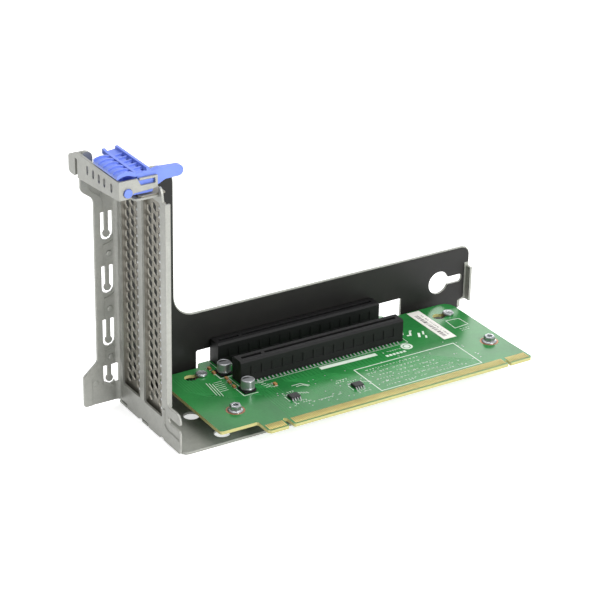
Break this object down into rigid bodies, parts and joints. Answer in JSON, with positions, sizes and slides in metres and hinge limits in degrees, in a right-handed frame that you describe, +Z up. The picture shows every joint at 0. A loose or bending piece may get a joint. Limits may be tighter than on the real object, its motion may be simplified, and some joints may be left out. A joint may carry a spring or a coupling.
{
  "type": "pcie riser card assembly",
  "caption": "Server riser card on a folded steel carrier, with edge-contact board, card connectors, ventilated slot covers and a hinged blue retention latch.",
  "frame": {"origin": "middle of the footprint, on the underside of the carrier base", "axes": "+X along the board away from the end frame; +Y from the edge contacts to the back wall; +Z up, the way a card leaves its connector"},
  "size_m": [0.2094, 0.0798, 0.1279],
  "materials": {
    "galvanised_steel": "zinc-coated sheet, satin",
    "cover_steel": "plated sheet, satin",
    "insulating_film": "glossy black film",
    "latch_plastic": "moulded blue plastic, satin",
    "board_laminate": "green solder mask, semi-gloss",
    "gold_plating": "gold plating, polished",
    "connector_plastic": "moulded black plastic, satin",
    "tinned_metal": "tinned, bright",
    "can_aluminium": "drawn aluminium, satin",
    "package_plastic": "moulded epoxy, matt",
    "ceramic_chip": "fired ceramic, matt",
    "plated_steel": "bright zinc plating",
    "label_paper": "coated paper, satin"
  },
  "bodies": {
    "frame": {"carrier_base": "galvanised_steel", "riser_bracket": "galvanised_steel", "insulator_film": "insulating_film", "end_frame": "galvanised_steel", "latch_bracket": "galvanised_steel", "slot_cover_left": "cover_steel", "slot_cover_right": "cover_steel", "riser_board": "board_laminate", "edge_contacts_top": "gold_plating", "slot_connector_front": "connector_plastic", "slot_connector_rear": "connector_plastic", "connector_tails_front": "tinned_metal", "connector_tails_rear": "tinned_metal", "capacitor_cans": "can_aluminium", "capacitor_feet": "connector_plastic", "circuit_chips": "package_plastic", "chip_leads": "tinned_metal", "chip_passives": "ceramic_chip", "board_screws": "plated_steel", "board_standoffs": "plated_steel", "board_studs": "plated_steel", "board_label": "label_paper"},
    "latch": {"retention_latch": "latch_plastic"}
  },
  "joints": [
    {"name": "latch_hinge", "type": "hinge", "parent": "frame", "child": "latch", "pos_m": [-0.10065, 0.00715, 0.1188], "axis": [0, -1, 0], "range_deg": [0, 70]}
  ]
}
